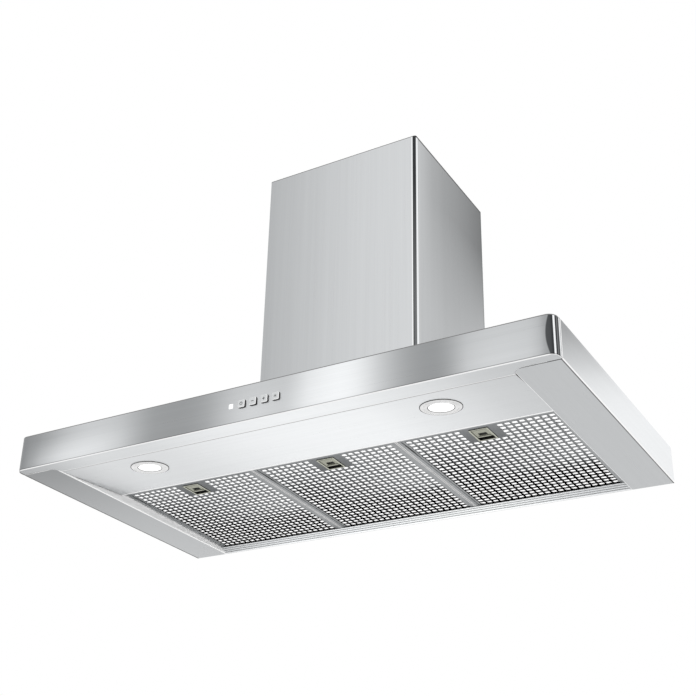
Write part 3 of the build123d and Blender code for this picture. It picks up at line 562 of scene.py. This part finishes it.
def cast_metal(name, tone, rough):
    """Plain machined or pressed metal with small marks."""
    shader = Shader(name, metallic=1.0)
    fine = shader.noise((900, 900, 900), detail=3)
    cloud = shader.ramp(shader.noise((40, 40, 40), detail=4), [(0.3, 236), (0.7, 255)])
    base = tint(tone)
    shader.colour(shader.mix(1.0, cloud, base, "MULTIPLY"))
    shader.rough(fine, rough - 0.08, rough + 0.08)
    shader.bump(fine, 0.01 * MM)
    return shader.material


def rolled(shader, colour):
    """The faint rolling lines of aluminium sheet, with little sheen at a low angle."""
    lines = shader.noise((6, 240, 240), detail=3)
    shader.colour(shader.mix(1.0, colour, shader.ramp(lines, [(0.3, 247), (0.7, 255)]), "MULTIPLY"))
    shader.rough(lines, 0.30, 0.44)
    shader.bump(lines, 0.006 * MM)
    shader.value("Specular Tint", (0.1, 0.1, 0.1, 1))


def across_filter(shader):
    """The distance from the left edge of the filter that a place belongs to."""
    turns = shader.math("ADD", shader.math("DIVIDE", shader.x, filter_pitch), 10.5)
    return shader.math("MULTIPLY", shader.math("FRACT", turns), filter_pitch)


def frame_metal():
    """The folded frame of a filter: mid grey painted reflection tones that darken towards its rear,
    with painted highlights along its outer folds.
    """
    shader = Shader("filter_frame_metal", metallic=1.0)
    low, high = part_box("filter_frame_centre")
    start = low.y / MM
    end = high.y / MM
    pitch = filter_pitch / MM
    tone = shader.bands(shader.y, [
        (start, 184), (start + 40, 200), (end - 90, 206), (end - 20, 196), (end, 130),
    ], "B_SPLINE")
    place = across_filter(shader)
    # Painted highlights along the folds at the seams between filters.
    left_seam = shader.between(place, -1, 2.3)
    right_seam = shader.between(place, pitch - 2.0, pitch + 1)
    seam = shader.math("MAXIMUM", left_seam, right_seam)
    rolled(shader, shader.mix(seam, tone, tint(250)))
    return shader.material


def sheet_metal():
    """The perforated sheet: painted dark reflection darkens it towards the wall, and first on its
    left side.
    """
    shader = Shader("filter_sheet_metal", metallic=1.0)
    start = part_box("filter_sheet_centre")[0].y / MM
    left = shader.bands(shader.y, [
        (start, 172), (start + 20, 162), (start + 60, 134), (start + 105, 84), (start + 150, 56),
        (start + 190, 40), (start + 212, 6), (start + 240, 1), (start + 298, 4),
    ], "B_SPLINE")
    right = shader.bands(shader.y, [
        (start, 172), (start + 20, 162), (start + 70, 156), (start + 130, 168), (start + 165, 160),
        (start + 192, 96), (start + 212, 20), (start + 240, 1), (start + 298, 4),
    ], "B_SPLINE")
    place = across_filter(shader)
    colour = shader.mix(shader.span(place, 40 * MM, 225 * MM), left, right)
    width = filter_pitch / MM
    # A lighter painted reflection tone on the margins and along the front.
    margin = shader.math(
        "SUBTRACT", 1.0, shader.between(place, SHEET_MARGIN_MM, width - SHEET_MARGIN_MM),
    )
    margin = shader.math("MAXIMUM", margin, shader.between(shader.y, start - 5, start + 6))
    colour = shader.mix(margin, colour, tint((196, 198, 199)))
    # Painted shade: a dark patch in the left margin near the front.
    shade = shader.math(
        "MULTIPLY",
        shader.between(place, 6, 9, 1.5),
        shader.between(shader.y, start + 18, start + 62, 16),
    )
    rolled(shader, shader.mix(shade, colour, tint(66)))
    return shader.material


def mesh_metal():
    """The bright expanded-metal pad behind the holes."""
    shader = Shader("filter_mesh_metal", metallic=0.1)
    grain = shader.noise((500, 500, 500), detail=3)
    shader.colour(shader.ramp(grain, [(0.2, 250), (0.8, 255)]))
    shader.rough(grain, 0.45, 0.65)
    shader.bump(grain, 0.05 * MM)
    return shader.material


def latch_plastic(name, outside, shade_tone):
    """Moulded plastic, pale where it faces the cook, with painted shade darkening its recess and
    its walls.
    """
    shader = Shader(name)
    hinge = joint_place("filter_centre_swing")
    fall = shader.math("MULTIPLY", shader.math("SUBTRACT", hinge.y, shader.y), filter_slope)
    above = shader.math("SUBTRACT", shader.math("SUBTRACT", shader.z, hinge.z), fall)
    # Painted shade: the deep recess and the faces that turn from the cook take the dark tone.
    deep = shader.span(above, 2.6 * MM, 3.4 * MM)
    face = shader.math("SUBTRACT", shader.facing(2, -1), deep)
    grain = shader.noise((1800, 1800, 1800), detail=2)
    pale = shader.mix(grain, tint(outside), tint(tuple(c - 8 for c in outside)))
    shader.colour(shader.mix(face, tint(shade_tone), pale))
    shader.rough(grain, 0.4, 0.55)
    shader.bump(grain, 0.02 * MM)
    return shader.material


def button_steel():
    """Steel caps: the panel's tone on the face, a painted highlight on the rounded edge and painted
    shade on the walls.
    """
    shader = Shader("button_steel", metallic=1.0)
    film = shader.noise((300, 900, 900), detail=2)
    face = shader.ramp(film, [(0.3, (208, 210, 211)), (0.7, (215, 217, 218))])
    # Painted highlight on the rounded edge and painted shade on the walls.
    edge_highlight = shader.mix(shader.facing(1, -1, 0.85, 0.97), tint(252), face)
    shader.colour(shader.mix(shader.facing(1, -1, 0.15, 0.4), tint(52), edge_highlight))
    shader.rough(film, 0.26, 0.34)
    shader.bump(film, 0.004 * MM)
    return shader.material


def icon_print():
    """Dark pad-printed ink."""
    shader = Shader("icon_ink")
    film = shader.noise((2000, 2000, 2000), detail=1)
    shader.colour(shader.ramp(film, [(0.3, 40), (0.7, 50)]))
    shader.rough(film, 0.4, 0.55)
    shader.bump(film, 0.005 * MM)
    return shader.material


def lit_indicator():
    """A white light guide, lit."""
    shader = Shader("indicator_white")
    film = shader.noise((800, 800, 800), detail=1)
    shader.colour(shader.ramp(film, [(0.3, 250), (0.7, 255)]))
    shader.rough(film, 0.25, 0.35)
    shader.value("Emission Color", (1, 1, 1, 1))
    shader.value("Emission Strength", 0.5)
    shader.bump(film, 0.01 * MM)
    return shader.material


def gap_shadow_material():
    """The dark material of thin rings that stand in for the shade in a gap."""
    return plastic("gap_shadow_ring", 34, rough=0.7)


def chrome():
    shader = Shader("chrome", metallic=1.0)
    film = shader.noise((60, 60, 60), detail=3)
    shader.colour(shader.ramp(film, [(0.3, 222), (0.7, 232)]))
    shader.rough(film, 0.08, 0.16)
    return shader.material


def lit_glass():
    """A frosted lens lit from behind, with moulded rings."""
    shader = Shader("lit_lamp_glass")
    frost = shader.noise((900, 900, 900), detail=2)
    shader.colour(shader.ramp(frost, [(0.2, 246), (0.8, 255)]))
    shader.rough(frost, 0.18, 0.32)
    shader.value("Emission Color", (1, 1, 1, 1))
    shader.value("Emission Strength", 0.25)
    shader.bump(frost, 0.03 * MM)
    return shader.material


def circuit():
    """A green solder mask over copper tracks."""
    shader = Shader("circuit_board")
    tracks = shader.noise((160, 160, 160), detail=0)
    mask = (22, 92, 58)
    track = (40, 128, 78)
    shader.colour(shader.ramp(tracks, [(0.44, mask), (0.5, track), (0.56, mask)]))
    shader.rough(tracks, 0.3, 0.5)
    shader.bump(tracks, 0.03 * MM)
    return shader.material


def make_finishes():
    """Every CAD node's material, by node name."""
    steel_chimney = chimney_steel("steel_chimney")
    zinc = galvanised("galvanised_sheet", 176)
    dark = plastic("dark_plastic", 42)
    grey_plastic = plastic("scroll_plastic", 92)
    wheel = plastic("wheel_plastic", 62)
    bright = cast_metal("bright_steel", 196, rough=0.3)
    ring = chrome()
    glass = lit_glass()
    rim = frame_metal()
    grid = sheet_metal()
    pad = mesh_metal()
    cup = latch_plastic("latch_cup_plastic", (154, 155, 143), (24, 24, 22))
    slider = latch_plastic("latch_slider_plastic", (134, 135, 122), (50, 50, 45))
    finishes = {
        "front_panel": front_steel(),
        "left_side_panel": side_steel("left"),
        "right_side_panel": side_steel("right"),
        "light_panel": panel_steel(),
        "rear_rail": rail_steel(),
        "lower_chimney": steel_chimney,
        "upper_chimney": chimney_steel("steel_upper_chimney"),
        "rear_panel": zinc,
        "top_cover": zinc,
        "hanger_plates": zinc,
        "chimney_bracket": zinc,
        "blower_box": zinc,
        "control_board": circuit(),
        "control_housing": dark,
        "terminal_box": dark,
        "cable_gland": dark,
        "lamp_driver": plastic("driver_case", 214),
        "capacitor": cast_metal("capacitor_can", 205, rough=0.35),
        "blower_scroll": grey_plastic,
        "duct_collar": grey_plastic,
        "impeller": wheel,
        "rear_flap": wheel,
        "front_flap": wheel,
        "motor": cast_metal("motor_case", 168, rough=0.5),
        "motor_bracket": cast_metal("motor_bracket_steel", 176, rough=0.45),
        "motor_shaft": bright,
        "flap_rod": bright,
        "box_screws": bright,
        "collar_screws": bright,
        "indicator_lens": lit_indicator(),
    }
    caps = button_steel()
    for index in BUTTONS:
        finishes[f"push_button_{index}"] = caps
    for side in SIDES:
        finishes[f"lamp_ring_{side}"] = ring
        finishes[f"lamp_lens_{side}"] = glass
        finishes[f"lamp_body_{side}"] = cast_metal(f"lamp_body_{side}", 120, rough=0.5)
    for name in FILTERS:
        finishes[f"filter_frame_{name}"] = rim
        finishes[f"filter_sheet_{name}"] = grid
        finishes[f"filter_mesh_{name}"] = pad
        finishes[f"filter_back_{name}"] = rim
        finishes[f"latch_cup_{name}"] = cup
        finishes[f"latch_slider_{name}"] = slider
    return finishes


def finish_cad_nodes(finishes):
    for name, node in frame["nodes"].items():
        if not node.material_slots:
            node.data.materials.append(None)
        for material_slot in node.material_slots:
            material_slot.material = finishes[name]


# ---------------------------------------------------------------- pieces

def place_piece(piece, material, body, node=None):
    """Gives a new piece its material and its body, and hides the CAD node that it stands for."""
    piece.data.materials.clear()
    piece.data.materials.append(material)
    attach(piece, body)
    if node:
        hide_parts(node)


def mesh_piece(name, points, faces):
    mesh = bpy.data.meshes.new(name)
    mesh.from_pydata(points, [], faces)
    mesh.validate()
    for polygon in mesh.polygons:
        polygon.use_smooth = True
    return link(bpy.data.objects.new(name, mesh))


def rounded(width, length, radius, centre=(0.0, 0.0)):
    """The outline of a rectangle with rounded corners."""
    steps = 3
    points = []
    for quarter in range(4):
        sx = (1, -1, -1, 1)[quarter]
        sy = (1, 1, -1, -1)[quarter]
        for step in range(steps + 1):
            angle = math.pi / 2 * (quarter + step / steps)
            x = centre[0] + sx * (width / 2 - radius) + radius * math.cos(angle)
            y = centre[1] + sy * (length / 2 - radius) + radius * math.sin(angle)
            points.append((x, y))
    return points


def circle(radius):
    steps = 24
    turn = 2 * math.pi / steps
    return [(radius * math.cos(i * turn), radius * math.sin(i * turn)) for i in range(steps)]


def cut_sheet(name, outlines, thickness, bevel, matrix, bevel_steps=1):
    """A flat sheet from closed outlines, holes included, with its edges slightly rounded."""
    curve = bpy.data.curves.new(name, "CURVE")
    curve.dimensions = "2D"
    curve.fill_mode = "BOTH"
    curve.extrude = thickness / 2 - bevel
    curve.bevel_depth = bevel
    curve.bevel_resolution = bevel_steps
    curve.offset = -bevel
    for outline in outlines:
        spline = curve.splines.new("POLY")
        spline.points.add(len(outline) - 1)
        for point, (x, y) in zip(spline.points, outline):
            point.co = (x, y, 0, 1)
        spline.use_cyclic_u = True
    shape = link(bpy.data.objects.new(name + "_outline", curve))
    bpy.context.view_layer.update()
    graph = bpy.context.evaluated_depsgraph_get()
    mesh = bpy.data.meshes.new_from_object(shape.evaluated_get(graph))
    bpy.data.objects.remove(shape)
    bpy.data.curves.remove(curve)
    mesh.name = name
    mesh.transform(matrix)
    return link(bpy.data.objects.new(name, mesh))


def lathe(name, profile, matrix):
    """A surface turned about local Z, from (radius, height) points in millimetres."""
    steps = 64
    points = []
    faces = []
    for radius, height in [(r * MM, h * MM) for r, h in profile]:
        for i in range(steps):
            angle = 2 * math.pi * i / steps
            across = (radius * math.cos(angle), radius * math.sin(angle), height)
            points.append(matrix @ Vector(across))
    for row in range(len(profile) - 1):
        for i in range(steps):
            after = (i + 1) % steps
            faces.append((
                row * steps + i, row * steps + after,
                (row + 1) * steps + after, (row + 1) * steps + i,
            ))
    return mesh_piece(name, points, faces)


def filter_matrix(name):
    """From a filter's own plane, with its origin in the middle of the sheet's underside."""
    low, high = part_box(f"filter_sheet_{name}")
    middle = (low + high) / 2
    middle.z -= sheet_thickness / 2
    return Matrix.Translation(middle) @ Matrix.Rotation(-math.atan(filter_slope), 4, "X")


HOLE = 8.6 * MM
HOLE_CORNER = 1.3 * MM
HOLE_PITCH = 11.1 * MM
HOLE_COLUMNS = 21
HOLE_ROWS = 25
BLANK_COLUMNS = 5
BLANK_ROWS = 4


def hole_centres():
    """The holes of one sheet, without the blank patch round the latch at its front."""
    centres = []
    for column in range(HOLE_COLUMNS):
        for row in range(HOLE_ROWS):
            from_middle = abs(column - (HOLE_COLUMNS - 1) / 2)
            if from_middle < BLANK_COLUMNS / 2 and row < BLANK_ROWS:
                continue
            x = (column - (HOLE_COLUMNS - 1) / 2) * HOLE_PITCH
            y = (row - (HOLE_ROWS - 1) / 2) * HOLE_PITCH
            centres.append((x, y))
    return centres


def make_perforated_sheet(name, material):
    """The sheet that shows from below, its square holes with rounded corners and soft edges."""
    matrix = filter_matrix(name)
    low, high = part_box(f"filter_sheet_{name}")
    outlines = [rounded(high.x - low.x, high.y - low.y, 0.5 * MM)]
    cup_low, cup_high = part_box(f"latch_cup_{name}")
    cup_middle = matrix.inverted() @ ((cup_low + cup_high) / 2)
    cup_width = cup_high.x - cup_low.x - 2 * MM
    cup_length = cup_high.y - cup_low.y - 2 * MM
    outlines.append(rounded(cup_width, cup_length, 0.5 * MM, (cup_middle.x, cup_middle.y)))
    for centre in hole_centres():
        outlines.append(rounded(HOLE, HOLE, HOLE_CORNER, centre))
    lifted = matrix @ Matrix.Translation((0, 0, sheet_thickness / 2))
    piece = cut_sheet(f"perforated_sheet_{name}", outlines, sheet_thickness, 0.12 * MM, lifted)
    place_piece(piece, material, f"filter_{name}", f"filter_sheet_{name}")


def make_mesh_pad(name, material):
    """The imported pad: a lattice of crossing strands in relief on both of its faces."""
    matrix = filter_matrix(name)
    low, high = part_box(f"filter_mesh_{name}")
    cup_low, cup_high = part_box(f"latch_cup_{name}")
    half_x = (high.x - low.x) / 2 - 0.3 * MM
    half_y = (high.y - low.y) / 2 - 0.3 * MM
    cell = 2 * MM
    columns = round(2 * half_x / cell)
    rows = round(2 * half_y / cell)
    relief = 1.1 * MM
    thickness = 4.2 * MM
    wide = 12 * MM
    deep = 8 * MM
    notch_x = (cup_high.x - cup_low.x) / 2 + 0.5 * MM
    notch_y = (matrix.inverted() @ cup_high).y + 6.5 * MM
    points = []
    number = {}
    for row in range(rows + 1):
        for column in range(columns + 1):
            x = -half_x + 2 * half_x * column / columns
            y = -half_y + 2 * half_y * row / rows
            first = abs(math.sin(math.pi * (x / wide + y / deep)))
            second = abs(math.sin(math.pi * (x / wide - y / deep)))
            hollow = min(first, second)
            number[row, column] = len(points)
            points.append(matrix @ Vector((x, y, sheet_thickness + 0.1 * MM + relief * hollow)))
    faces = []
    for row in range(rows):
        for column in range(columns):
            x = -half_x + 2 * half_x * (column + 0.5) / columns
            y = -half_y + 2 * half_y * (row + 0.5) / rows
            if abs(x) < notch_x and y < notch_y:
                continue
            faces.append((
                number[row, column], number[row + 1, column],
                number[row + 1, column + 1], number[row, column + 1],
            ))
    piece = mesh_piece(f"mesh_pad_{name}", points, faces)
    solid = piece.modifiers.new("thickness", "SOLIDIFY")
    solid.thickness = thickness
    solid.offset = -1
    clean_mesh(piece)
    place_piece(piece, material, f"filter_{name}", f"filter_mesh_{name}")


def clean_mesh(piece):
    """Applies a piece's modifiers and drops the points that no face uses."""
    bpy.context.view_layer.update()
    graph = bpy.context.evaluated_depsgraph_get()
    work = bmesh.new()
    work.from_object(piece, graph)
    bmesh.ops.delete(work, geom=[v for v in work.verts if not v.link_faces], context="VERTS")
    bmesh.ops.recalc_face_normals(work, faces=work.faces)
    piece.modifiers.clear()
    work.to_mesh(piece.data)
    work.free()


def lamp_matrix(side):
    """From a lamp's own axis, with its origin on the light panel's underside."""
    low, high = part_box(f"lamp_lens_{side}")
    slope = (light_rear_z - light_low.z) / (light_high.y - light_low.y)
    middle = (low + high) / 2
    lens_middle_height = 0.4 * MM
    turn = Matrix.Rotation(math.atan(slope), 4, "X")
    return Matrix.Translation(middle) @ turn @ Matrix.Translation((0, 0, -lens_middle_height))


def make_lamp(side, ring_material, glass_material, shadow_ring_material):
    """A downlight: a dark ring round its trim that stands in for the shade in the gap, a stepped
    chrome trim, a thin dark ring between trim and lens, and a ribbed, slightly domed lens.
    """
    matrix = lamp_matrix(side)
    trim = [
        (29.2, -0.35), (28.8, -0.95), (27.8, -1.3), (26.0, -1.38), (25.2, -1.25), (24.7, -0.7),
        (24.2, -0.7), (23.8, -1.2), (23.0, -1.38), (20.4, -1.3), (19.4, -1.15), (18.9, -0.8),
        (18.9, -0.55), (20.9, -0.4), (20.9, 8.0), (25.6, 8.0), (25.6, 0.0), (29.2, 0.0),
        (29.2, -0.35),
    ]
    ring = lathe(f"lamp_trim_{side}", trim, matrix)
    place_piece(ring, ring_material, "hood", f"lamp_ring_{side}")
    # A dark ring round the trim, standing in for the shade in the gap with the panel.
    shadow_ring = [(29.2, 0.0), (29.95, 0.0), (29.95, -0.5), (29.6, -0.75), (29.2, -0.5), (29.2, 0.0)]
    band = lathe(f"lamp_shadow_ring_{side}", shadow_ring, matrix)
    place_piece(band, shadow_ring_material, "hood", None)
    # A thin ring of the same dark shade material between the trim and the lens.
    bezel = [(18.1, -0.55), (18.2, -0.85), (18.7, -0.95), (18.9, -0.8), (18.9, -0.5), (18.1, -0.55)]
    inner_shadow_ring = lathe(f"lamp_bezel_{side}", bezel, matrix)
    place_piece(inner_shadow_ring, shadow_ring_material, "hood", None)
    ribs = 9
    edge = 19.6
    centre = 0.001
    lowest = -0.95
    lens = [(centre, lowest)]
    for rib in range(1, ribs + 1):
        radius = edge * rib / ribs
        height = lowest + 0.55 * (rib / ribs) ** 2
        lens.append((radius - 1.1, height - 0.06))
        lens.append((radius - 0.35, height + 0.05))
    lens += [(edge, -0.3), (edge, 1.2), (centre, 1.2)]
    glass = lathe(f"lamp_glass_{side}", lens, matrix)
    place_piece(glass, glass_material, "hood", f"lamp_lens_{side}")


def button_matrix(index):
    """From a button's face, looked at from the front: local x to the right, y up."""
    low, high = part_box(f"push_button_{index}")
    middle = (low + high) / 2
    return Matrix.Translation((middle.x, low.y, middle.z)) @ Matrix.Rotation(math.pi / 2, 4, "X")


def bar(width, height, centre=(0.0, 0.0)):
    x, y = centre
    return [
        (x - width / 2, y - height / 2), (x + width / 2, y - height / 2),
        (x + width / 2, y + height / 2), (x - width / 2, y + height / 2),
    ]


def icon_outlines(index):
    """Plain signs: switch on, less, more, and light."""
    thick = 1.0 * MM
    if index == 1:
        gap = 0.6
        arc = [gap + (2 * math.pi - 2 * gap) * i / 20 for i in range(21)]
        outer = [(2.5 * MM * math.sin(a), 2.5 * MM * math.cos(a)) for a in arc]
        inner = [(1.75 * MM * math.sin(a), 1.75 * MM * math.cos(a)) for a in reversed(arc)]
        return [outer + inner, bar(thick, 2.2 * MM, (0, 1.7 * MM))]
    if index == 2:
        return [bar(4.4 * MM, thick)]
    if index == 3:
        arm = 2.2 * MM
        half = thick / 2
        return [[
            (-arm, -half), (-half, -half), (-half, -arm), (half, -arm), (half, -half), (arm, -half),
            (arm, half), (half, half), (half, arm), (-half, arm), (-half, half), (-arm, half),
        ]]
    lamp = [circle(1.1 * MM)]
    start = 1.6 * MM
    end = 2.6 * MM
    half = 0.25 * MM
    for ray in range(8):
        angle = ray * math.pi / 4
        c = math.cos(angle)
        s = math.sin(angle)
        lamp.append([
            (start * c + half * s, start * s - half * c), (end * c + half * s, end * s - half * c),
            (end * c - half * s, end * s + half * c), (start * c - half * s, start * s + half * c),
        ])
    return lamp


def make_button(index, cap_material, ink_material):
    """A square cap with rounded edges, and its sign in thin ink on the face."""
    ink = 0.06 * MM
    matrix = button_matrix(index)
    low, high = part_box(f"push_button_{index}")
    flange = 2.4 * MM
    width = high.x - low.x - flange
    depth = 4.6 * MM
    sunk = matrix @ Matrix.Translation((0, 0, -depth / 2 - ink))
    outline = [rounded(width, width, 1.9 * MM)]
    cap = cut_sheet(f"button_cap_{index}", outline, depth, 1.2 * MM, sunk, 3)
    place_piece(cap, cap_material, f"button_{index}", f"push_button_{index}")
    printed = matrix @ Matrix.Translation((0, 0, -ink / 2))
    sign = cut_sheet(f"button_sign_{index}", icon_outlines(index), ink, 0.01 * MM, printed, 0)
    place_piece(sign, ink_material, f"button_{index}", None)


def make_pieces(finishes):
    for name in FILTERS:
        make_perforated_sheet(name, finishes[f"filter_sheet_{name}"])
        make_mesh_pad(name, finishes[f"filter_mesh_{name}"])
    shadow_ring = gap_shadow_material()
    for side in SIDES:
        make_lamp(side, finishes[f"lamp_ring_{side}"], finishes[f"lamp_lens_{side}"], shadow_ring)
    ink = icon_print()
    for index in BUTTONS:
        make_button(index, finishes[f"push_button_{index}"], ink)


# ---------------------------------------------------------------- the scene

make_camera()
make_world()
make_floor()
finishes = make_finishes()
finish_cad_nodes(finishes)
make_pieces(finishes)
under_fill = area_light("under_fill", (0, -0.1, -1.2), (0, -0.1, 0), 1.2, 9)
under_fill.visible_glossy = False
